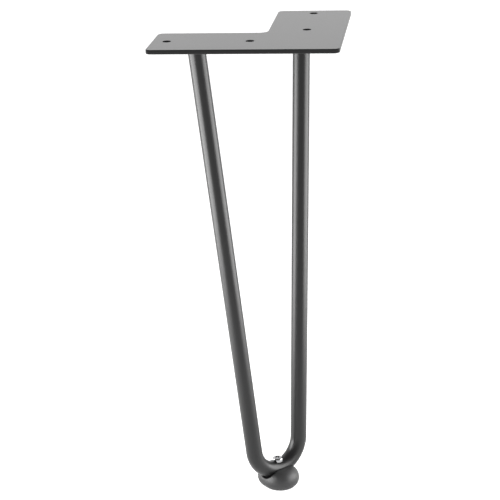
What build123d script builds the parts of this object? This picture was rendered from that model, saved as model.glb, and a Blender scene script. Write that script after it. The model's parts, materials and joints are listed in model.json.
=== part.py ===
"""Hairpin table leg: an L-shaped plate, a bent rod welded under it, and a screwed-on saddle foot."""

import os
from math import asin, atan2, cos, degrees, hypot, sin

from build123d import *

# Driving dimensions, in millimetres

# Mounting plate
arm_length = 125.0  # outer corner to the end of either arm
arm_width = 51.5
plate_thickness = 3.0
outer_corner_radius = 4.0
inner_corner_radius = 6.0
plate_edge_radius = 0.5
table_hole_diameter = 5.5
hole_end_margin = 10.0  # from an arm's end to its far hole
hole_spacing = 55.0

# Hairpin rod
leg_height = 338.0  # table face to floor
rod_diameter = 12.0
bend_radius = 21.0  # to the rod's centre line
weld_end_margin = 28.0  # rod end from its arm's end
weld_inset = 32.8  # rod end from its arm's outer edge
foot_inset = 53.3  # middle of the bend from both outer edges

# Fillet welds
weld_size = 3.0

# Saddle foot
foot_length = 28.0  # along the rod
foot_width = 32.4  # across the rod
foot_height = 14.4
foot_floor = 6.3  # left under the slot
foot_shoulder_radius = 9.0  # from the widest line up to the crest
foot_base_draw = 2.8  # base inside the widest line
foot_base_radius = 1.0
slot_sweep_radius = 40.0  # flatter than the bend, so the rod bears in the middle
slot_edge_radius = 0.8
slot_clearance = 0.1

# Foot screw
screw_diameter = 4.2
screw_head_diameter = 8.0
screw_head_height = 3.0
screw_head_rounding = 1.6
screw_reach = 4.2  # below the slot's lowest line
screw_point_length = 2.0
recess_length = 4.4
recess_width = 1.1
recess_depth = 1.6
recess_taper = 6.0  # degrees
screw_clearance = 0.15
pilot_clearance = 0.05
pilot_gap = 0.3  # left below the screw's point
seat_depth = 0.5  # flat cut into the bend for the screw head

# Plate frame: the arms' hole rows cross at the origin, on the table face
edge_offset = arm_width / 2
arm_end = arm_length - edge_offset
underside = Plane.XY.offset(-plate_thickness)

# Hairpin frame: x from the front weld to the side weld, y up the middle of the V
rod_radius = rod_diameter / 2
bend_depth = leg_height - foot_floor - slot_clearance - rod_radius
weld_reach = arm_end - weld_end_margin
front_weld_point = Vector(-weld_reach, weld_inset - edge_offset, -plate_thickness)
side_weld_point = Vector(edge_offset - weld_inset, weld_reach, -plate_thickness)
bend_point = Vector(edge_offset - foot_inset, foot_inset - edge_offset, -bend_depth)
weld_middle = (front_weld_point + side_weld_point) * 0.5
across = (side_weld_point - front_weld_point).normalized()
upward = (weld_middle - bend_point).normalized()
outward = across.cross(upward)
hairpin_plane = Plane(origin=bend_point, x_dir=across, z_dir=outward)

# Each straight leg runs from its weld to the bend and is tangent to it
half_spread = (side_weld_point - front_weld_point).length / 2
rise = (weld_middle - bend_point).length
bend_to_weld = hypot(half_spread, rise - bend_radius)
leg_angle = atan2(half_spread, rise - bend_radius) - asin(bend_radius / bend_to_weld)
leg_overrun = rod_diameter
leg_top_x = half_spread + leg_overrun * sin(leg_angle)
leg_top_y = rise + leg_overrun * cos(leg_angle)

# The screw stands on a flat cut into the inside of the bend
seat_plane = Plane(
    origin=bend_point + upward * (rod_radius - seat_depth), x_dir=across, z_dir=upward
)
screw_plane = Plane(origin=seat_plane.origin, x_dir=across, z_dir=outward)
screw_radius = screw_diameter / 2
screw_length = 2 * rod_radius - seat_depth + slot_clearance + screw_reach

# Saddle foot frame: on the floor, x along the slot, y up
foot_base = Vector(bend_point.X, bend_point.Y, -leg_height)
foot_side = across.cross(Vector(0, 0, 1))
foot_plane = Plane(origin=foot_base, x_dir=across, z_dir=foot_side)
foot_reach = foot_length / 2
foot_stretch = (foot_width - foot_length) / 2
slot_radius = rod_radius + slot_clearance
slot_half_turn = degrees(foot_length / slot_sweep_radius)

os.makedirs("parts", exist_ok=True)

# Mounting plate
plate_corners = [
    (edge_offset, -edge_offset),
    (edge_offset, arm_end),
    (-edge_offset, arm_end),
    (-edge_offset, edge_offset),
    (-arm_end, edge_offset),
    (-arm_end, -edge_offset),
]
inner_corner = (-edge_offset, edge_offset, 0)
far_hole = arm_end - hole_end_margin
near_hole = far_hole - hole_spacing
table_holes = [(-far_hole, 0), (-near_hole, 0), (0, near_hole), (0, far_hole)]

with BuildPart() as mounting_plate:
    with BuildSketch() as plate_outline:
        with BuildLine():
            Polyline(*plate_corners, close=True)
        make_face()
        corners = plate_outline.vertices().sort_by_distance(inner_corner)
        fillet(corners[:1], inner_corner_radius)
        outer_corners = plate_outline.vertices().sort_by_distance(inner_corner)[2:]
        fillet(outer_corners, outer_corner_radius)
    extrude(amount=-plate_thickness)
    broad_faces = mounting_plate.faces().filter_by(Axis.Z)
    fillet(broad_faces.edges(), plate_edge_radius)
    with Locations(*table_holes):
        Hole(table_hole_diameter / 2)
mounting_plate.part.label = "mounting_plate"
export_step(mounting_plate.part, "parts/mounting_plate.step")

# Hairpin rod: straight legs and one round bend, cut flush at the plate and drilled at the bend
with BuildPart() as hairpin_rod:
    with BuildLine(hairpin_plane) as hairpin_path:
        bend_start = 180 + degrees(leg_angle)
        bend = CenterArc((0, bend_radius), bend_radius, bend_start, 180 - 2 * degrees(leg_angle))
        front_leg = Line((-leg_top_x, leg_top_y), bend @ 0)
        side_leg = Line(bend @ 1, (leg_top_x, leg_top_y))
    with BuildSketch(Plane(origin=front_leg @ 0, z_dir=front_leg % 0)):
        Circle(rod_radius)
    sweep()
    split(bisect_by=underside, keep=Keep.BOTTOM)
    with BuildSketch(seat_plane):
        Circle(screw_head_diameter / 2 + screw_clearance)
    extrude(amount=rod_radius, mode=Mode.SUBTRACT)
    with BuildSketch(seat_plane):
        Circle(screw_radius + screw_clearance)
    extrude(amount=-rod_diameter, mode=Mode.SUBTRACT)
hairpin_rod.part.label = "hairpin_rod"
export_step(hairpin_rod.part, "parts/hairpin_rod.step")

# Fillet welds: a flat-faced bead round each rod end, against the plate
weld_ends = [
    ("front_weld", front_weld_point, upward * cos(leg_angle) - across * sin(leg_angle)),
    ("side_weld", side_weld_point, upward * cos(leg_angle) + across * sin(leg_angle)),
]
bead_radius = rod_radius + weld_size
for weld_name, weld_point, leg_direction in weld_ends:
    bead_plane = Plane(origin=weld_point, x_dir=leg_direction.cross(outward), z_dir=outward)
    with BuildPart() as weld:
        with BuildSketch(bead_plane):
            with BuildLine():
                Polyline(
                    (rod_radius, -weld_size),
                    (bead_radius, 0),
                    (bead_radius, weld_size),
                    (rod_radius, weld_size),
                    close=True,
                )
            make_face()
        revolve(axis=Axis(weld_point, leg_direction))
        split(bisect_by=underside, keep=Keep.BOTTOM)
    weld.part.label = weld_name
    export_step(weld.part, f"parts/{weld_name}.step")

# Saddle foot: two round cushions set a little apart, with a slot that the rod bears in
waist = (foot_reach, foot_height - foot_shoulder_radius)
base_edge = (foot_reach - foot_base_draw, 0)
crest_edge = (foot_reach - foot_shoulder_radius, foot_height)
with BuildSketch() as foot_profile:
    with BuildLine():
        TangentArc(waist, base_edge, tangent=(0, -1))
        TangentArc(waist, crest_edge, tangent=(0, 1))
        Polyline(crest_edge, (0, foot_height), (0, 0), base_edge)
    make_face()
    fillet(foot_profile.vertices().sort_by_distance(base_edge)[0], foot_base_radius)

with BuildPart() as foot:
    with BuildSketch(foot_plane):
        add(foot_profile.sketch)
        mirror(about=Plane.YZ)
    extrude(amount=foot_stretch, both=True)
    for dome_plane in (foot_plane.offset(-foot_stretch), foot_plane.offset(foot_stretch)):
        with BuildSketch(dome_plane):
            add(foot_profile.sketch)
        revolve(axis=Axis(dome_plane.origin, (0, 0, 1)))
    with BuildLine(hairpin_plane):
        slot_start = 270 - slot_half_turn
        slot_path = CenterArc((0, slot_sweep_radius), slot_sweep_radius, slot_start, 2 * slot_half_turn)
    with BuildSketch(Plane(origin=slot_path @ 0, x_dir=outward * -1, z_dir=slot_path % 0)):
        Circle(slot_radius)
        with Locations((0, foot_height / 2)):
            Rectangle(2 * slot_radius, foot_height)
    sweep(mode=Mode.SUBTRACT)
    fillet(foot.edges(Select.NEW), slot_edge_radius)
    with BuildSketch(seat_plane):
        Circle(screw_radius + pilot_clearance)
    extrude(amount=-screw_length - pilot_gap, mode=Mode.SUBTRACT)
foot.part.label = "foot"
export_step(foot.part, "parts/foot.step")

# Foot screw: pan head with a cross recess, plain shank and a blunt point
with BuildPart() as foot_screw:
    with BuildSketch(screw_plane) as screw_profile:
        with BuildLine():
            Polyline(
                (0, -screw_length),
                (screw_radius / 2, -screw_length),
                (screw_radius, screw_point_length - screw_length),
                (screw_radius, 0),
                (screw_head_diameter / 2, 0),
                (screw_head_diameter / 2, screw_head_height),
                (0, screw_head_height),
                close=True,
            )
        make_face()
        head_top = screw_profile.vertices().group_by(Axis.Y)[-1]
        fillet(head_top.sort_by(Axis.X)[-1], screw_head_rounding)
    revolve(axis=Axis(seat_plane.origin, upward))
    with BuildSketch(seat_plane.offset(screw_head_height)):
        Rectangle(recess_length, recess_width)
        Rectangle(recess_width, recess_length)
    extrude(amount=-recess_depth, taper=recess_taper, mode=Mode.SUBTRACT)
foot_screw.part.label = "foot_screw"
export_step(foot_screw.part, "parts/foot_screw.step")
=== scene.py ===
"""Hairpin table leg: coated plate and rod with rippled welds, on a moulded foot held by a bright screw."""

import json
from math import asin, atan2, copysign, cos, hypot, pi, radians, sin, sqrt, tau
from types import SimpleNamespace

import bmesh
import bpy
from bpy.props import FloatProperty, FloatVectorProperty, IntProperty, PointerProperty
from mathutils import Matrix, Vector


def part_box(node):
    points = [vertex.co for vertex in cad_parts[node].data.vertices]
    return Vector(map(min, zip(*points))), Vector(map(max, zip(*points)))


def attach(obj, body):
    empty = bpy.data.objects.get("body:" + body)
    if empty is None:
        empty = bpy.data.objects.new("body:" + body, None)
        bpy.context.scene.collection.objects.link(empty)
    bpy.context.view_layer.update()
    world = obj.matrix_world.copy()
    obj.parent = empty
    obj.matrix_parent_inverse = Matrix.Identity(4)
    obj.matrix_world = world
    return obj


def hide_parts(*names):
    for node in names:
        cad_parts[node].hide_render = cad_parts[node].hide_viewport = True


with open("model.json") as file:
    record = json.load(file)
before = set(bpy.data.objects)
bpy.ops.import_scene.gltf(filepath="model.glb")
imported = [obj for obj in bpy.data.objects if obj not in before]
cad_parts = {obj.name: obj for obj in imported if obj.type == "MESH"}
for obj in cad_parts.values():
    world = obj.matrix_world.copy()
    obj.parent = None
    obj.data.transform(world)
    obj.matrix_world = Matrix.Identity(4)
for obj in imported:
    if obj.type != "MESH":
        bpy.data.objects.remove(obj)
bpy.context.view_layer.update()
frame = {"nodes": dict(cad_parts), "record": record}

bl_info = {
    "name": "Hairpin table leg",
    "version": (1, 0, 0),
    "blender": (4, 5, 0),
    "location": "View3D > Sidebar > Hairpin leg",
    "description": "Builds a coated hairpin leg with its plate, welds, foot and screw, in a studio",
    "category": "Object",
}

MM = 0.001

# What the frame gives
plate_low, plate_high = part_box("mounting_plate")
rod_low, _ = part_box("hairpin_rod")
mounts = {mount["name"]: mount for mount in frame["record"]["mounts"]}
hole_row = mounts["front_arm_holes"]
floor_height = mounts["floor_face"]["pos_m"][2]

# How finely round shapes are divided
CORNER_SEGMENTS = 10
RIM_SEGMENTS = 5
HOLE_SEGMENTS = 48
ROD_SEGMENTS = 96
BEND_STEPS = 72
WELD_ARC_STEPS = 8
STEPS_PER_RIPPLE = 10
SCREW_SEGMENTS = 64
HEAD_SEGMENTS = 8
THREAD_STEPS_PER_TURN = 32

# Edges sharper than this stay crisp on a cut piece, and edges shorter than a sliver go
CRISP_ANGLE = radians(32)
SLIVER = 0.001 * MM


def length(name, description, metres):
    """A length that a user can change, in metres."""
    return FloatProperty(name=name, description=description, default=metres, precision=5, unit="LENGTH")


def share(name, description, default):
    """A number between nothing and one that a user can change."""
    return FloatProperty(
        name=name, description=description, default=default, min=0, max=1, subtype="FACTOR"
    )


def colour(name, description, default):
    """A colour that a user can change."""
    return FloatVectorProperty(
        name=name, description=description, default=default, subtype="COLOR", min=0, max=1
    )


def point(name, description, default):
    """A point that a user can change, in metres."""
    return FloatVectorProperty(
        name=name, description=description, default=default, precision=4, subtype="TRANSLATION"
    )


def angle(name, description, degrees):
    """An angle that a user can change."""
    return FloatProperty(name=name, description=description, default=radians(degrees), subtype="ANGLE")


def radiance(name, description, default):
    """How bright a light or the surroundings are, where white paper in full light is one."""
    return FloatProperty(name=name, description=description, default=default, min=0)


class PlateSettings(bpy.types.PropertyGroup):
    """Sizes of the mounting plate"""

    arm_length: length("Arm length", "Outer corner to an arm's end", plate_high.x - plate_low.x)
    arm_width: length("Arm width", "Across either arm", 2 * plate_high.x)
    thickness: length("Thickness", "Of the sheet", plate_high.z - plate_low.z)
    corner_radius: length("Corner radius", "Of the five outer corners", 4 * MM)
    inner_radius: length("Inner radius", "Of the corner between the arms", 6 * MM)
    edge_radius: length("Edge radius", "Of the broad faces' edges under the coat", 0.5 * MM)
    hole_diameter: length("Hole diameter", "Of the screw holes", 2 * hole_row["dims"]["hole_r_mm"] * MM)
    hole_spacing: length("Hole spacing", "Between an arm's holes", hole_row["dims"]["spacing_x_mm"] * MM)
    hole_middle: length("Hole middle", "Middle of an arm's holes from the origin", -hole_row["pos_m"][0])
    hole_rim_radius: length("Hole rim radius", "Of the coat round a hole's edge", 0.35 * MM)


class RodSettings(bpy.types.PropertyGroup):
    """Sizes of the bent rod"""

    diameter: length("Diameter", "Of the round bar", 12 * MM)
    bend_radius: length("Bend radius", "To the rod's centre line", 21 * MM)
    reach: length("Reach", "Table face to the lowest line of the bend", -rod_low.z)
    weld_end_margin: length("Weld end margin", "Rod end from its arm's end", 28 * MM)
    weld_inset: length("Weld inset", "Rod end from its arm's outer edge", 32.8 * MM)
    foot_inset: length("Foot inset", "Middle of the bend from both outer edges", 53.3 * MM)
    seat_depth: length("Seat depth", "Flat cut into the bend for the screw head", 0.5 * MM)
    seat_clearance: length("Seat clearance", "Round the screw's head and shank", 0.15 * MM)


class WeldSettings(bpy.types.PropertyGroup):
    """Sizes of the fillet welds"""

    size: length("Size", "Of the bead along the rod and along the plate", 3 * MM)
    bulge: length("Bulge", "Of the bead's face in the middle", 0.35 * MM)
    ripple_height: length("Ripple height", "From a ripple's foot to its crest", 0.32 * MM)
    ripples: IntProperty(name="Ripples", description="Round one bead", default=23, min=3)
    ripple_lag: share("Ripple lag", "How far a ripple's ends trail its middle, in ripples", 0.45)


class ScrewSettings(bpy.types.PropertyGroup):
    """Sizes of the foot screw"""

    diameter: length("Diameter", "Of the thread's crest", 4.2 * MM)
    core_diameter: length("Core diameter", "Of the thread's root", 3.1 * MM)
    thread_pitch: length("Thread pitch", "Along the screw for one turn", 1.4 * MM)
    thread_width: length("Thread width", "Of the ridge at its root", 0.9 * MM)
    thread_bite: length("Thread bite", "How far the ridge starts inside the core", 0.05 * MM)
    thread_start: length("Thread start", "From under the head to the first turn", 1.2 * MM)
    shank_length: length("Shank length", "From under the head to the tip", 15.8 * MM)
    point_length: length("Point length", "Of the blunt point", 2 * MM)
    head_diameter: length("Head diameter", "Of the pan head", 8 * MM)
    head_height: length("Head height", "Of the pan head", 3 * MM)
    head_rounding: length("Head rounding", "Of the head's upper edge", 1.6 * MM)
    recess_length: length("Recess length", "Across the cross recess", 4.4 * MM)
    recess_width: length("Recess width", "Of one wing of the recess", 1.1 * MM)
    recess_depth: length("Recess depth", "Of the cross recess", 1.6 * MM)
    recess_draw: length("Recess draw", "How far a wing narrows to its floor, each side", 0.17 * MM)


class FinishSettings(bpy.types.PropertyGroup):
    """Colours and grain of the finishes"""

    coat_colour: colour("Coat", "Of the powder coat", (0.004, 0.004, 0.0041))
    coat_bloom: share("Coat bloom", "How far the coat's tone wanders", 0.14)
    coat_roughness: share("Coat roughness", "Of the powder coat", 0.34)
    coat_unevenness: share("Coat unevenness", "How far the coat's roughness wanders", 0.04)
    coat_sheen: share("Coat sheen", "How much the powder coat mirrors", 0.3)
    bloom_size: length("Bloom size", "Of the coat's faint clouds", 28 * MM)
    peel_size: length("Peel size", "Of the coat's orange peel", 1.5 * MM)
    peel_height: length("Peel height", "Of the coat's orange peel", 0.05 * MM)
    dust_size: length("Dust size", "Of the finest grain in the coat", 0.25 * MM)
    dust_height: length("Dust height", "Of the finest grain in the coat", 0.006 * MM)

    plastic_colour: colour("Plastic", "Of the moulded foot", (0.008, 0.008, 0.0083))
    plastic_flow: share("Plastic flow", "How far the foot's tone wanders", 0.12)
    plastic_roughness: share("Plastic roughness", "Of the moulded foot", 0.5)
    plastic_unevenness: share("Plastic unevenness", "How far the foot's roughness wanders", 0.06)
    plastic_sheen: share("Plastic sheen", "How much the moulded foot mirrors", 0.45)
    flow_size: length("Flow size", "Of the foot's faint flow marks", 9 * MM)
    grain_size: length("Grain size", "Of the foot's moulded grain", 0.5 * MM)
    grain_height: length("Grain height", "Of the foot's moulded grain", 0.02 * MM)

    # Darker than bright zinc really is, so the whole screw looks as if it mirrors dark surroundings: a
    # painted dark reflection
    zinc_colour: colour("Zinc", "Of the plated screw", (0.26, 0.26, 0.265))
    zinc_bloom: share("Zinc bloom", "How far the plating's tone wanders", 0.1)
    zinc_roughness: share("Zinc roughness", "Of the plated screw", 0.18)
    zinc_unevenness: share("Zinc unevenness", "How far the plating's roughness wanders", 0.06)
    crystal_size: length("Crystal size", "Of the plating's crystals", 0.9 * MM)
    mark_size: length("Mark size", "Of the plating's tool marks", 0.2 * MM)
    mark_height: length("Mark height", "Of the plating's tool marks", 0.006 * MM)


class StudioSettings(bpy.types.PropertyGroup):
    """Light, floor and camera"""

    floor_width: length("Floor width", "Of the square floor", 16.0)
    floor_colour: colour("Floor", "Of the pale floor", (0.72, 0.72, 0.72))
    floor_roughness: share("Floor roughness", "Of the pale floor", 0.9)
    floor_sheen: share("Floor sheen", "How much the floor mirrors", 0.1)
    floor_glow: radiance("Floor glow", "Of the floor, lit from below like a light table", 0.56)
    back_glow: radiance("Back glow", "Of the surroundings behind the leg", 1.87)
    front_glow: radiance("Front glow", "Of the surroundings high on the camera's side", 0.35)
    horizon_glow: radiance("Horizon glow", "Of the surroundings low down all round", 1.05)
    side_height: length("Side height", "Of either side light", 0.335)
    side_aim: point("Side aim", "Where the side lights point", (-0.04, 0.02, -0.1675))
    left_place: point("Left light", "Where the left light stands", (-0.40, -0.123, -0.1675))
    left_width: length("Left width", "Of the left light", 0.47)
    left_glow: radiance("Left glow", "Of the left light", 12.6)
    right_place: point("Right light", "Where the right light stands", (0.38, 0.045, -0.1675))
    right_width: length("Right width", "Of the right light", 0.425)
    right_glow: radiance("Right glow", "Of the right light", 9.3)
    lens: FloatProperty(
        name="Lens", description="Focal length", default=109.74, subtype="DISTANCE_CAMERA"
    )
    camera_place: point("Camera", "Where it stands", (0.09091, -0.96964, 0.20985))
    camera_yaw: angle("Yaw", "Turn to the right", -7.636)
    camera_pitch: angle("Pitch", "Turn down", 19.923)
    camera_roll: angle("Roll", "Turn about the view", -2.033)


class LegSettings(bpy.types.PropertyGroup):
    """All that a user would change on the leg and its studio"""

    plate: PointerProperty(type=PlateSettings, name="Plate", description="Mounting plate")
    rod: PointerProperty(type=RodSettings, name="Rod", description="Bent rod")
    weld: PointerProperty(type=WeldSettings, name="Weld", description="Fillet welds")
    screw: PointerProperty(type=ScrewSettings, name="Screw", description="Foot screw")
    finish: PointerProperty(type=FinishSettings, name="Finish", description="Colours and grain")
    studio: PointerProperty(type=StudioSettings, name="Studio", description="Light, floor and camera")


# Pieces in general


def add_piece(name, bm, material):
    """Turn a finished bmesh into an object that rides on the leg."""
    mesh = bpy.data.meshes.new(name)
    bm.to_mesh(mesh)
    bm.free()
    mesh.materials.append(material)
    piece = bpy.data.objects.new(name, mesh)
    bpy.context.scene.collection.objects.link(piece)
    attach(piece, "root")
    return piece


def carve(piece, cutter_bm):
    """Cut a closed shape out of a piece, and clear the slivers that the cut leaves."""
    cutter = bpy.data.objects.new("cutter", bpy.data.meshes.new("cutter"))
    cutter_bm.to_mesh(cutter.data)
    cutter_bm.free()
    bpy.context.scene.collection.objects.link(cutter)
    cut = piece.modifiers.new("cut", "BOOLEAN")
    cut.operation = "DIFFERENCE"
    cut.solver = "EXACT"
    cut.object = cutter
    uncut = piece.data
    carved = piece.evaluated_get(bpy.context.evaluated_depsgraph_get())
    piece.data = bpy.data.meshes.new_from_object(carved)
    piece.modifiers.clear()
    bm = bmesh.new()
    bm.from_mesh(piece.data)
    bmesh.ops.dissolve_degenerate(bm, dist=SLIVER, edges=bm.edges)
    bm.to_mesh(piece.data)
    bm.free()
    bpy.data.meshes.remove(uncut)
    bpy.data.meshes.remove(cutter.data)


def shade_round(piece):
    """Shade a piece smooth, with its sharp edges left crisp."""
    piece.data.polygons.foreach_set("use_smooth", [True] * len(piece.data.polygons))
    piece.data.set_sharp_from_angle(angle=CRISP_ANGLE)


def axes_at(origin, side, direction):
    """A matrix whose X runs to the side and whose Z runs along the direction."""
    matrix = Matrix((side, direction.cross(side), direction)).transposed().to_4x4()
    matrix.translation = origin
    return matrix


def new_edges(bm, known):
    """The edges that a step added."""
    return [edge for edge in bm.edges if edge not in known]


def circle_edges(bm, centre, axis, radius):
    """The edges that lie on a circle."""

    def on_circle(vert):
        arm = vert.co - centre
        return abs(arm.dot(axis)) < SLIVER and abs(arm.length - radius) < SLIVER

    return [edge for edge in bm.edges if all(on_circle(vert) for vert in edge.verts)]


def hairpin_layout(leg):
    """Where the rod runs: its welds, its bend, and the directions across, up and out of its plane."""
    half_width = leg.plate.arm_width / 2
    weld_reach = leg.plate.arm_length - half_width - leg.rod.weld_end_margin
    weld_side = leg.rod.weld_inset - half_width
    bend_side = leg.rod.foot_inset - half_width
    front_weld = Vector((-weld_reach, weld_side, -leg.plate.thickness))
    side_weld = Vector((-weld_side, weld_reach, -leg.plate.thickness))
    bend = Vector((-bend_side, bend_side, leg.rod.diameter / 2 - leg.rod.reach))
    weld_middle = (front_weld + side_weld) / 2
    across = (side_weld - front_weld).normalized()
    upward = (weld_middle - bend).normalized()
    rise = (weld_middle - bend).length - leg.rod.bend_radius
    half_spread = (side_weld - front_weld).length / 2
    leg_angle = atan2(half_spread, rise) - asin(leg.rod.bend_radius / hypot(half_spread, rise))
    return SimpleNamespace(
        front_weld=front_weld,
        side_weld=side_weld,
        bend=bend,
        across=across,
        upward=upward,
        outward=across.cross(upward),
        leg_angle=leg_angle,
        front_up=upward * cos(leg_angle) - across * sin(leg_angle),
        side_up=upward * cos(leg_angle) + across * sin(leg_angle),
        bend_centre=bend + upward * leg.rod.bend_radius,
        seat=bend + upward * (leg.rod.diameter / 2 - leg.rod.seat_depth),
    )


# Finishes

# Where most of a noise lies
NOISE_LOW = 0.3
NOISE_HIGH = 0.7

# How strongly each relief shows
PEEL_STRENGTH = 0.5
DUST_STRENGTH = 0.4
PIT_STRENGTH = 0.5
MARK_STRENGTH = 0.3


def new_material(name, colour_value):
    """A material with its shader, and the same colour in the viewport."""
    material = bpy.data.materials.new(name)
    material.use_nodes = True
    material.diffuse_color = (*colour_value, 1)
    return material, material.node_tree, material.node_tree.nodes["Principled BSDF"]


def grain(tree, size, detail):
    """Noise of a given size, fixed to the piece."""
    where = tree.nodes.new("ShaderNodeTexCoord")
    noise = tree.nodes.new("ShaderNodeTexNoise")
    noise.inputs["Scale"].default_value = 1 / size
    noise.inputs["Detail"].default_value = detail
    tree.links.new(where.outputs["Object"], noise.inputs["Vector"])
    return noise.outputs["Fac"]


def uneven(tree, source, middle, change):
    """A value that wanders either side of its middle."""
    stretch = tree.nodes.new("ShaderNodeMapRange")
    stretch.inputs["From Min"].default_value = NOISE_LOW
    stretch.inputs["From Max"].default_value = NOISE_HIGH
    stretch.inputs["To Min"].default_value = middle - change
    stretch.inputs["To Max"].default_value = middle + change
    tree.links.new(source, stretch.inputs["Value"])
    return stretch.outputs["Result"]


def tint(tree, source, colour_value, change):
    """A colour that wanders a little darker and lighter."""
    ramp = tree.nodes.new("ShaderNodeValToRGB")
    darker, lighter = ramp.color_ramp.elements
    for element, position, factor in ((darker, NOISE_LOW, 1 - change), (lighter, NOISE_HIGH, 1 + change)):
        element.position = position
        element.color = (*(channel * factor for channel in colour_value), 1)
    tree.links.new(source, ramp.inputs["Fac"])
    return ramp.outputs["Color"]


def raise_grain(tree, source, height, strength, below=None):
    """Relief from noise, on top of a coarser one where given."""
    bump = tree.nodes.new("ShaderNodeBump")
    bump.inputs["Distance"].default_value = height
    bump.inputs["Strength"].default_value = strength
    tree.links.new(source, bump.inputs["Height"])
    if below:
        tree.links.new(below, bump.inputs["Normal"])
    return bump.outputs["Normal"]


def dress(tree, shader, tone, roughness, relief):
    """Give a shader its tone, its roughness and its relief."""
    for source, socket in ((tone, "Base Color"), (roughness, "Roughness"), (relief, "Normal")):
        tree.links.new(source, shader.inputs[socket])


def satin_coat(finish):
    """Satin powder coat: near black, with orange peel and a fine bloom."""
    material, tree, shader = new_material("satin_coat", finish.coat_colour)
    bloom = grain(tree, finish.bloom_size, detail=4)
    peel = grain(tree, finish.peel_size, detail=1)
    dust = grain(tree, finish.dust_size, detail=2)
    tone = tint(tree, bloom, finish.coat_colour, finish.coat_bloom)
    roughness = uneven(tree, dust, finish.coat_roughness, finish.coat_unevenness)
    relief = raise_grain(tree, peel, finish.peel_height, PEEL_STRENGTH)
    relief = raise_grain(tree, dust, finish.dust_height, DUST_STRENGTH, relief)
    shader.inputs["Specular IOR Level"].default_value = finish.coat_sheen
    dress(tree, shader, tone, roughness, relief)
    return material


def moulded_plastic(finish):
    """Moulded plastic of the foot: dark, with a fine spark-eroded grain."""
    material, tree, shader = new_material("moulded_plastic", finish.plastic_colour)
    flow = grain(tree, finish.flow_size, detail=3)
    pits = grain(tree, finish.grain_size, detail=2)
    tone = tint(tree, flow, finish.plastic_colour, finish.plastic_flow)
    roughness = uneven(tree, pits, finish.plastic_roughness, finish.plastic_unevenness)
    relief = raise_grain(tree, pits, finish.grain_height, PIT_STRENGTH)
    shader.inputs["Specular IOR Level"].default_value = finish.plastic_sheen
    dress(tree, shader, tone, roughness, relief)
    return material


def zinc_with_painted_reflection(finish):
    """Zinc plating of the screw: metal with faint crystals and tool marks, its colour darkened below
    bright zinc's own as a painted dark reflection.
    """
    material, tree, shader = new_material("zinc_with_painted_reflection", finish.zinc_colour)
    crystals = grain(tree, finish.crystal_size, detail=3)
    marks = grain(tree, finish.mark_size, detail=2)
    tone = tint(tree, crystals, finish.zinc_colour, finish.zinc_bloom)
    roughness = uneven(tree, crystals, finish.zinc_roughness, finish.zinc_unevenness)
    relief = raise_grain(tree, marks, finish.mark_height, MARK_STRENGTH)
    shader.inputs["Metallic"].default_value = 1.0
    dress(tree, shader, tone, roughness, relief)
    return material


def shared_material(make, finish):
    """The material that a function makes, made once and then found again by the function's name."""
    return bpy.data.materials.get(make.__name__) or make(finish)


# Mounting plate

PLATE_PIECE = "coated_plate"


def rim_profile(radius, thickness):
    """Inset and height of each loop from the flat top, over two round edges, to the flat underside."""
    turns = [step * pi / 2 / RIM_SEGMENTS for step in range(RIM_SEGMENTS + 1)]
    upper = [(radius * (1 - sin(turn)), radius * (cos(turn) - 1)) for turn in turns]
    lower = [(inset, -thickness - height) for inset, height in reversed(upper)]
    return upper + lower


def outline_loop(bm, plate, inset, height):
    """The plate's L-shaped outline, drawn in by an inset, with its corners rounded."""
    half_width = plate.arm_width / 2 - inset
    arm_end = plate.arm_length - plate.arm_width / 2 - inset
    known = set(bm.edges)
    corners = [
        (half_width, -half_width),
        (half_width, arm_end),
        (-half_width, arm_end),
        (-half_width, half_width),
        (-arm_end, half_width),
        (-arm_end, -half_width),
    ]
    verts = [bm.verts.new((x, y, height)) for x, y in corners]
    for index, vert in enumerate(verts):
        bm.edges.new((verts[index - 1], vert))
    inner = verts[corners.index((-half_width, half_width))]
    outer = [vert for vert in verts if vert != inner]
    for rounded, radius in ((outer, plate.corner_radius - inset), ([inner], plate.inner_radius + inset)):
        bmesh.ops.bevel(
            bm,
            geom=rounded,
            offset=radius,
            affect="VERTICES",
            segments=CORNER_SEGMENTS,
            profile=0.5,
            material=-1,
        )
    return new_edges(bm, known)


def hole_loop(bm, centre, radius, height):
    """One ring of a screw hole."""
    known = set(bm.edges)
    place = Matrix.Translation((*centre, height))
    bmesh.ops.create_circle(bm, segments=HOLE_SEGMENTS, radius=radius, matrix=place)
    return new_edges(bm, known)


def bridge_all(bm, loops):
    """Walls from each loop to the next."""
    for upper, lower in zip(loops, loops[1:]):
        bmesh.ops.bridge_loops(bm, edges=upper + lower)


def drilled_plate(plate):
    """The whole plate: round walls at its outline and its holes, and flat faces between them."""
    near_hole = plate.hole_middle - plate.hole_spacing / 2
    far_hole = plate.hole_middle + plate.hole_spacing / 2
    centres = [(-far_hole, 0), (-near_hole, 0), (0, near_hole), (0, far_hole)]
    hole_radius = plate.hole_diameter / 2
    rim = rim_profile(plate.edge_radius, plate.thickness)
    hole_rim = rim_profile(plate.hole_rim_radius, plate.thickness)
    bm = bmesh.new()
    walls = [[outline_loop(bm, plate, inset, height) for inset, height in rim]]
    for centre in centres:
        walls.append([hole_loop(bm, centre, hole_radius + inset, height) for inset, height in hole_rim])
    for wall in walls:
        bridge_all(bm, wall)
    for face in bm.faces:
        face.smooth = True
    top, underside = 0, -1
    for level in (top, underside):
        rings = [edge for wall in walls for edge in wall[level]]
        bmesh.ops.triangle_fill(bm, use_beauty=True, edges=rings, normal=(0, 0, 1))
    bmesh.ops.recalc_face_normals(bm, faces=bm.faces)
    return bm


class HAIRPIN_OT_plate(bpy.types.Operator):
    """Build the coated mounting plate with its four screw holes"""

    bl_idname = "hairpin.plate"
    bl_label = "Mounting plate"

    def execute(self, context):
        leg = context.scene.hairpin
        piece = add_piece(PLATE_PIECE, drilled_plate(leg.plate), shared_material(satin_coat, leg.finish))
        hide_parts("mounting_plate")
        return {"FINISHED"}


# Hairpin rod


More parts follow.
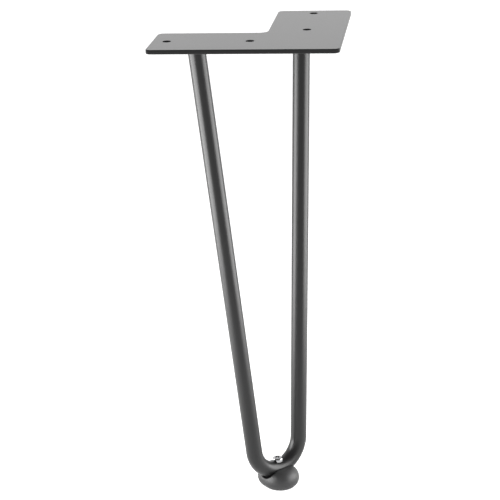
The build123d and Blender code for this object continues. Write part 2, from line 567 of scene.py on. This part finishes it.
def round_cutter(origin, side, direction, radius, height):
    """A cylinder that stands on a point and cuts a seat or a hole."""
    bm = bmesh.new()
    place = axes_at(origin + direction * height / 2, side, direction)
    bmesh.ops.create_cone(
        bm,
        cap_ends=True,
        segments=SCREW_SEGMENTS,
        radius1=radius,
        radius2=radius,
        depth=height,
        matrix=place,
    )
    return bm


def only(kind, geometry):
    """The vertices or edges among what a step returns."""
    return [part for part in geometry if isinstance(part, kind)]


def extend(bm, edges, way):
    """Draw an open ring of edges out along a straight way, and give its far end's vertices."""
    far = only(bmesh.types.BMVert, bmesh.ops.extrude_edge_only(bm, edges=edges)["geom"])
    bmesh.ops.translate(bm, verts=far, vec=way)
    return far


def bent_bar(leg, run):
    """The whole bar: one straight leg, the bend and the other leg, cut flush under the plate."""
    overrun = leg.rod.diameter
    front_top = run.front_weld + run.front_up * overrun
    side_top = run.side_weld + run.side_up * overrun
    to_bend = -run.across * cos(run.leg_angle) - run.upward * sin(run.leg_angle)
    bend_start = run.bend_centre + to_bend * leg.rod.bend_radius
    bend_end = run.bend_centre + (to_bend + run.across * 2 * cos(run.leg_angle)) * leg.rod.bend_radius
    bm = bmesh.new()
    bmesh.ops.create_circle(
        bm,
        segments=ROD_SEGMENTS,
        radius=leg.rod.diameter / 2,
        matrix=axes_at(front_top, run.outward, run.front_up),
    )
    verts = extend(bm, bm.edges[:], bend_start - front_top)
    edges = [edge for edge in bm.edges if all(vert in verts for vert in edge.verts)]
    bend = bmesh.ops.spin(
        bm,
        geom=verts + edges,
        cent=run.bend_centre,
        axis=run.outward,
        angle=pi - 2 * run.leg_angle,
        steps=BEND_STEPS,
    )
    extend(bm, only(bmesh.types.BMEdge, bend["geom_last"]), side_top - bend_end)
    bmesh.ops.bisect_plane(
        bm,
        geom=bm.verts[:] + bm.edges[:] + bm.faces[:],
        plane_co=(0, 0, -leg.plate.thickness),
        plane_no=(0, 0, 1),
        clear_outer=True,
    )
    bmesh.ops.holes_fill(bm, edges=[edge for edge in bm.edges if edge.is_boundary])
    bmesh.ops.recalc_face_normals(bm, faces=bm.faces)
    return bm


class HAIRPIN_OT_rod(bpy.types.Operator):
    """Build the coated rod, bent once, cut flush under the plate and drilled for the foot's screw"""

    bl_idname = "hairpin.rod"
    bl_label = "Hairpin rod"

    def execute(self, context):
        leg = context.scene.hairpin
        run = hairpin_layout(leg)
        rod_radius = leg.rod.diameter / 2
        piece = add_piece("coated_rod", bent_bar(leg, run), shared_material(satin_coat, leg.finish))
        head_radius = leg.screw.head_diameter / 2 + leg.rod.seat_clearance
        carve(piece, round_cutter(run.seat, run.across, run.upward, head_radius, rod_radius))
        shank_radius = leg.screw.diameter / 2 + leg.rod.seat_clearance
        hole_foot = run.seat - run.upward * leg.rod.diameter
        hole_depth = leg.rod.diameter + rod_radius
        carve(piece, round_cutter(hole_foot, run.across, run.upward, shank_radius, hole_depth))
        shade_round(piece)
        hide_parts("hairpin_rod")
        return {"FINISHED"}


# Fillet welds

# How unevenly a bead is laid: height, count round the rod and start of each wave
SPACING_WAVES = ((0.16, 3, 0.6), (0.1, 7, 2.1))
SWELL_WAVES = ((0.1, 2, 1.3), (0.05, 5, 0))

# A ripple rises steeply over this share of its length and falls slowly over the rest
RISING_SHARE = 1 / 6

# The fall has begun where the rise ends, so the crest is drawn up again
CREST_GAIN = 1.6


def hump(way):
    """Nothing at either toe of the bead, and one in the middle."""
    return 4 * way * (1 - way)


def bead_face(weld):
    """How far out and along the bead's bulging face lies, from its toe on the rod to that on the plate."""
    points = []
    for step in range(WELD_ARC_STEPS + 1):
        way = step / WELD_ARC_STEPS
        swell = weld.bulge * hump(way) / sqrt(2)
        points.append((weld.size * way + swell, -weld.size * (1 - way) - swell))
    return points


def waves(parts, turn):
    """A sum of waves at a turn round the rod."""
    return sum(height * sin(count * turn + start) for height, count, start in parts)


def ripple(weld, turn, way):
    """How far the bead stands proud at a turn round the rod and a way across the bead."""
    lag = weld.ripple_lag * (2 * way - 1) ** 2
    phase = (weld.ripples * turn / tau - lag + waves(SPACING_WAVES, turn)) % 1
    crest = CREST_GAIN * (1 - phase) ** 2 * min(1, phase / RISING_SHARE)
    swell = weld.bulge * waves(SWELL_WAVES, turn)
    return hump(way) * (weld.ripple_height * crest + swell)


def rippled_bead(leg, run, origin, up):
    """A bead round a rod end, spun round the rod, rippled and cut flush under the plate."""
    weld = leg.weld
    rod_radius = leg.rod.diameter / 2
    side = up.cross(run.outward)
    bm = bmesh.new()
    face = [(rod_radius + out, along) for out, along in bead_face(weld)]
    buried = [(rod_radius + weld.size, weld.size), (rod_radius, weld.size)]
    verts = [bm.verts.new(origin + side * out + up * along) for out, along in face + buried]
    edges = [bm.edges.new((verts[index - 1], vert)) for index, vert in enumerate(verts)]
    bmesh.ops.spin(
        bm,
        geom=verts + edges,
        cent=origin,
        axis=up,
        angle=tau,
        steps=weld.ripples * STEPS_PER_RIPPLE,
        use_merge=True,
    )
    for vert in bm.verts:
        arm = vert.co - origin
        along = arm.dot(up)
        # Only the face has ripples, and it ends at the rod's end
        if along > 0:
            continue
        spoke = arm - up * along
        way = max(0, min(1, (spoke.length - rod_radius + along + weld.size) / (2 * weld.size)))
        turn = atan2(spoke.dot(run.outward), spoke.dot(side)) + pi
        vert.co += (spoke.normalized() - up).normalized() * ripple(weld, turn, way)
    cut = bmesh.ops.bisect_plane(
        bm,
        geom=bm.verts[:] + bm.edges[:] + bm.faces[:],
        plane_co=(0, 0, -leg.plate.thickness),
        plane_no=(0, 0, 1),
        clear_outer=True,
    )["geom_cut"]
    bmesh.ops.bridge_loops(bm, edges=only(bmesh.types.BMEdge, cut))
    bmesh.ops.recalc_face_normals(bm, faces=bm.faces)
    return bm


class HAIRPIN_OT_welds(bpy.types.Operator):
    """Build the two rippled fillet welds under the plate"""

    bl_idname = "hairpin.welds"
    bl_label = "Fillet welds"

    def execute(self, context):
        leg = context.scene.hairpin
        run = hairpin_layout(leg)
        coat = shared_material(satin_coat, leg.finish)
        for name, node, origin, up in (
            ("front_weld_bead", "front_weld", run.front_weld, run.front_up),
            ("side_weld_bead", "side_weld", run.side_weld, run.side_up),
        ):
            piece = add_piece(name, rippled_bead(leg, run, origin, up), coat)
            shade_round(piece)
            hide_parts(node)
        return {"FINISHED"}


# Saddle foot


class HAIRPIN_OT_foot(bpy.types.Operator):
    """Give the moulded foot its finish"""

    bl_idname = "hairpin.foot"
    bl_label = "Saddle foot"

    def execute(self, context):
        foot = frame["nodes"]["foot"]
        foot.data.materials.clear()
        foot.data.materials.append(shared_material(moulded_plastic, context.scene.hairpin.finish))
        return {"FINISHED"}


# Foot screw


def screw_body(screw, run):
    """The screw's core, point and pan head, spun round its axis, without the recess and the thread."""
    head_radius = screw.head_diameter / 2
    core_radius = screw.core_diameter / 2
    profile = [
        (0, screw.head_height),
        (head_radius, screw.head_height),
        (head_radius, 0),
        (core_radius, 0),
        (core_radius, screw.point_length - screw.shank_length),
        (core_radius / 2, -screw.shank_length),
        (0, -screw.shank_length),
    ]
    bm = bmesh.new()
    verts = [bm.verts.new(run.seat + run.across * out + run.upward * along) for out, along in profile]
    edges = [bm.edges.new(pair) for pair in zip(verts, verts[1:])]
    bmesh.ops.spin(
        bm,
        geom=verts + edges,
        cent=run.seat,
        axis=run.upward,
        angle=tau,
        steps=SCREW_SEGMENTS,
        use_merge=True,
    )
    bmesh.ops.remove_doubles(bm, verts=bm.verts, dist=SLIVER)
    bmesh.ops.recalc_face_normals(bm, faces=bm.faces)
    crown = run.seat + run.upward * screw.head_height
    bmesh.ops.bevel(
        bm,
        geom=circle_edges(bm, crown, run.upward, head_radius),
        offset=screw.head_rounding,
        affect="EDGES",
        segments=HEAD_SEGMENTS,
        profile=0.5,
        material=-1,
    )
    return bm


def cross_cutter(screw, place):
    """A cross with four wings, narrower at the recess's floor, that reaches above the head."""
    bm = bmesh.new()
    core = Matrix.Diagonal((screw.recess_width, screw.recess_width, 2 * screw.recess_depth, 1))
    bmesh.ops.create_cube(bm, size=1, matrix=core)
    bm.normal_update()
    sides = [face for face in bm.faces if round(face.normal.z) == 0]
    wing_length = (screw.recess_length - screw.recess_width) / 2
    for wing in bmesh.ops.extrude_discrete_faces(bm, faces=sides)["faces"]:
        bmesh.ops.translate(bm, verts=wing.verts, vec=wing.normal * wing_length)
    for vert in bm.verts:
        draw = copysign(screw.recess_draw, vert.co.z)
        vert.co.x += copysign(draw, draw * vert.co.x)
        vert.co.y += copysign(draw, draw * vert.co.y)
    bmesh.ops.transform(bm, verts=bm.verts, matrix=place)
    return bm


def add_thread(piece, screw, run):
    """Wind a sharp ridge round the shank, from under the head to the point."""
    start = run.seat - run.upward * screw.thread_start
    threaded = screw.shank_length - screw.point_length - screw.thread_start
    turns = threaded / screw.thread_pitch
    steps = round(turns * THREAD_STEPS_PER_TURN)
    root = screw.core_diameter / 2 - screw.thread_bite
    half = screw.thread_width / 2
    bm = bmesh.new()
    ridge = ((root, half), (screw.diameter / 2, 0), (root, -half))
    corners = [bm.verts.new(start + run.across * out + run.upward * along) for out, along in ridge]
    first = bm.faces.new(corners)
    bmesh.ops.spin(
        bm,
        geom=[*first.verts, *first.edges, first],
        cent=start,
        axis=run.upward,
        dvec=run.upward * (-threaded / steps),
        angle=tau * turns,
        steps=steps,
    )
    bmesh.ops.recalc_face_normals(bm, faces=bm.faces)
    bm.from_mesh(piece.data)
    bm.to_mesh(piece.data)
    bm.free()


class HAIRPIN_OT_screw(bpy.types.Operator):
    """Build the bright pan head screw with its cross recess and thread"""

    bl_idname = "hairpin.screw"
    bl_label = "Foot screw"

    def execute(self, context):
        leg = context.scene.hairpin
        run = hairpin_layout(leg)
        screw = leg.screw
        crown = run.seat + run.upward * screw.head_height
        piece = add_piece("zinc_screw", screw_body(screw, run), shared_material(zinc_with_painted_reflection, leg.finish))
        carve(piece, cross_cutter(screw, axes_at(crown, run.across, run.upward)))
        add_thread(piece, screw, run)
        shade_round(piece)
        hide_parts("foot_screw")
        return {"FINISHED"}


# Studio

WHITE = (1, 1, 1, 1)

# How far a direction points away from the camera where the back glow starts and where it is full
BACK_FADE_START = -0.2
BACK_FADE_END = 0.9

# How far a direction points up where the horizon glow starts to fade and where it ends
HORIZON_FADE_START = 0.28
HORIZON_FADE_END = 0.5


def softbox(studio, name, stand, width, glow):
    """A soft side light that stands at a point, faces the leg and is as bright as its glow."""
    light = bpy.data.lights.new(name, "AREA")
    light.shape = "RECTANGLE"
    light.size = width
    light.size_y = studio.side_height
    light.energy = glow * pi * width * studio.side_height
    panel = bpy.data.objects.new(name, light)
    panel.location = stand
    ahead = Vector(studio.side_aim) - Vector(stand)
    panel.rotation_euler = ahead.to_track_quat("-Z", "Y").to_euler()
    panel.visible_camera = False
    bpy.context.scene.collection.objects.link(panel)
    return panel


def leave_out(panels, piece):
    """Keep the light of some panels off a piece."""
    left_out = bpy.data.collections.new("left_out")
    left_out.objects.link(piece)
    left_out.collection_objects[0].light_linking.link_state = "EXCLUDE"
    for panel in panels:
        panel.light_linking.receiver_collection = left_out


def soft_fade(tree, source, start, end, low, high):
    """A soft change from one glow to another along a direction."""
    fade = tree.nodes.new("ShaderNodeMapRange")
    fade.interpolation_type = "SMOOTHSTEP"
    fade.inputs["From Min"].default_value = start
    fade.inputs["From Max"].default_value = end
    fade.inputs["To Min"].default_value = low
    fade.inputs["To Max"].default_value = high
    tree.links.new(source, fade.inputs["Value"])
    return fade.outputs["Result"]


def studio_world(studio):
    """Pale surroundings, brighter behind the leg and dim high on the camera's side."""
    world = bpy.data.worlds.new("studio")
    world.use_nodes = True
    tree = world.node_tree
    way = tree.nodes.new("ShaderNodeTexCoord")
    axes = tree.nodes.new("ShaderNodeSeparateXYZ")
    brighter = tree.nodes.new("ShaderNodeMath")
    brighter.operation = "MAXIMUM"
    tree.links.new(way.outputs["Generated"], axes.inputs["Vector"])
    to_back = soft_fade(
        tree, axes.outputs["Y"], BACK_FADE_START, BACK_FADE_END, studio.front_glow, studio.back_glow
    )
    to_top = soft_fade(
        tree, axes.outputs["Z"], HORIZON_FADE_START, HORIZON_FADE_END, studio.horizon_glow, 0
    )
    tree.links.new(to_back, brighter.inputs[0])
    tree.links.new(to_top, brighter.inputs[1])
    tree.links.new(brighter.outputs["Value"], tree.nodes["Background"].inputs["Strength"])
    tree.nodes["Background"].inputs["Color"].default_value = WHITE
    bpy.context.scene.world = world


def pale_floor(studio):
    """A plain pale floor under the foot."""
    bm = bmesh.new()
    half = studio.floor_width / 2
    level = Matrix.Translation((0, 0, floor_height))
    bmesh.ops.create_grid(bm, x_segments=1, y_segments=1, size=half, matrix=level)
    mesh = bpy.data.meshes.new("floor")
    bm.to_mesh(mesh)
    bm.free()
    material, _, shader = new_material("floor_paper", studio.floor_colour)
    shader.inputs["Roughness"].default_value = studio.floor_roughness
    shader.inputs["Specular IOR Level"].default_value = studio.floor_sheen
    shader.inputs["Base Color"].default_value = (*studio.floor_colour, 1)
    shader.inputs["Emission Color"].default_value = WHITE
    shader.inputs["Emission Strength"].default_value = studio.floor_glow
    mesh.materials.append(material)
    floor = bpy.data.objects.new("floor", mesh)
    bpy.context.scene.collection.objects.link(floor)


def studio_camera(studio):
    """A camera at the photograph's place."""
    yaw, pitch, roll = studio.camera_yaw, studio.camera_pitch, studio.camera_roll
    ahead = Vector((sin(yaw) * cos(pitch), cos(yaw) * cos(pitch), -sin(pitch)))
    level = Vector((cos(yaw), -sin(yaw), 0))
    above = level.cross(ahead)
    right = level * cos(roll) + above * sin(roll)
    data = bpy.data.cameras.new("camera")
    data.lens = studio.lens
    camera = bpy.data.objects.new("camera", data)
    camera.matrix_world = axes_at(Vector(studio.camera_place), right, -ahead)
    bpy.context.scene.collection.objects.link(camera)
    bpy.context.scene.camera = camera


class HAIRPIN_OT_studio(bpy.types.Operator):
    """Set the floor, the soft light and the camera"""

    bl_idname = "hairpin.studio"
    bl_label = "Studio"

    def execute(self, context):
        studio = context.scene.hairpin.studio
        context.scene.view_settings.view_transform = "Standard"
        studio_world(studio)
        pale_floor(studio)
        left = softbox(studio, "left_softbox", studio.left_place, studio.left_width, studio.left_glow)
        right = softbox(studio, "right_softbox", studio.right_place, studio.right_width, studio.right_glow)
        # They are there for the round rod, and the flat plate would mirror them as plain white
        leave_out((left, right), bpy.data.objects[PLATE_PIECE])
        studio_camera(studio)
        return {"FINISHED"}


# Panel and registration


class HAIRPIN_PT_sidebar(bpy.types.Panel):
    """Buttons and sizes of the hairpin leg"""

    bl_idname = "HAIRPIN_PT_sidebar"
    bl_label = "Hairpin leg"
    bl_space_type = "VIEW_3D"
    bl_region_type = "UI"
    bl_category = "Hairpin leg"

    def draw(self, context):
        leg = context.scene.hairpin
        for operator in OPERATORS:
            self.layout.operator(operator.bl_idname)
        for group in (leg.plate, leg.rod, leg.weld, leg.screw, leg.finish, leg.studio):
            box = self.layout.box()
            for key in group.__annotations__:
                box.prop(group, key)


OPERATORS = (
    HAIRPIN_OT_plate,
    HAIRPIN_OT_rod,
    HAIRPIN_OT_welds,
    HAIRPIN_OT_foot,
    HAIRPIN_OT_screw,
    HAIRPIN_OT_studio,
)
SETTINGS = (
    PlateSettings,
    RodSettings,
    WeldSettings,
    ScrewSettings,
    FinishSettings,
    StudioSettings,
    LegSettings,
)
CLASSES = SETTINGS + OPERATORS + (HAIRPIN_PT_sidebar,)


def register():
    """Make the classes and the scene's settings known."""
    for each in CLASSES:
        bpy.utils.register_class(each)
    bpy.types.Scene.hairpin = PointerProperty(
        type=LegSettings, name="Hairpin leg", description="All its settings"
    )


def unregister():
    """Forget the settings and the classes."""
    del bpy.types.Scene.hairpin
    for each in reversed(CLASSES):
        bpy.utils.unregister_class(each)


def main():
    """Build every piece and the studio."""
    register()
    bpy.ops.hairpin.plate()
    bpy.ops.hairpin.rod()
    bpy.ops.hairpin.welds()
    bpy.ops.hairpin.foot()
    bpy.ops.hairpin.screw()
    bpy.ops.hairpin.studio()


if __name__ == "__main__":
    main()
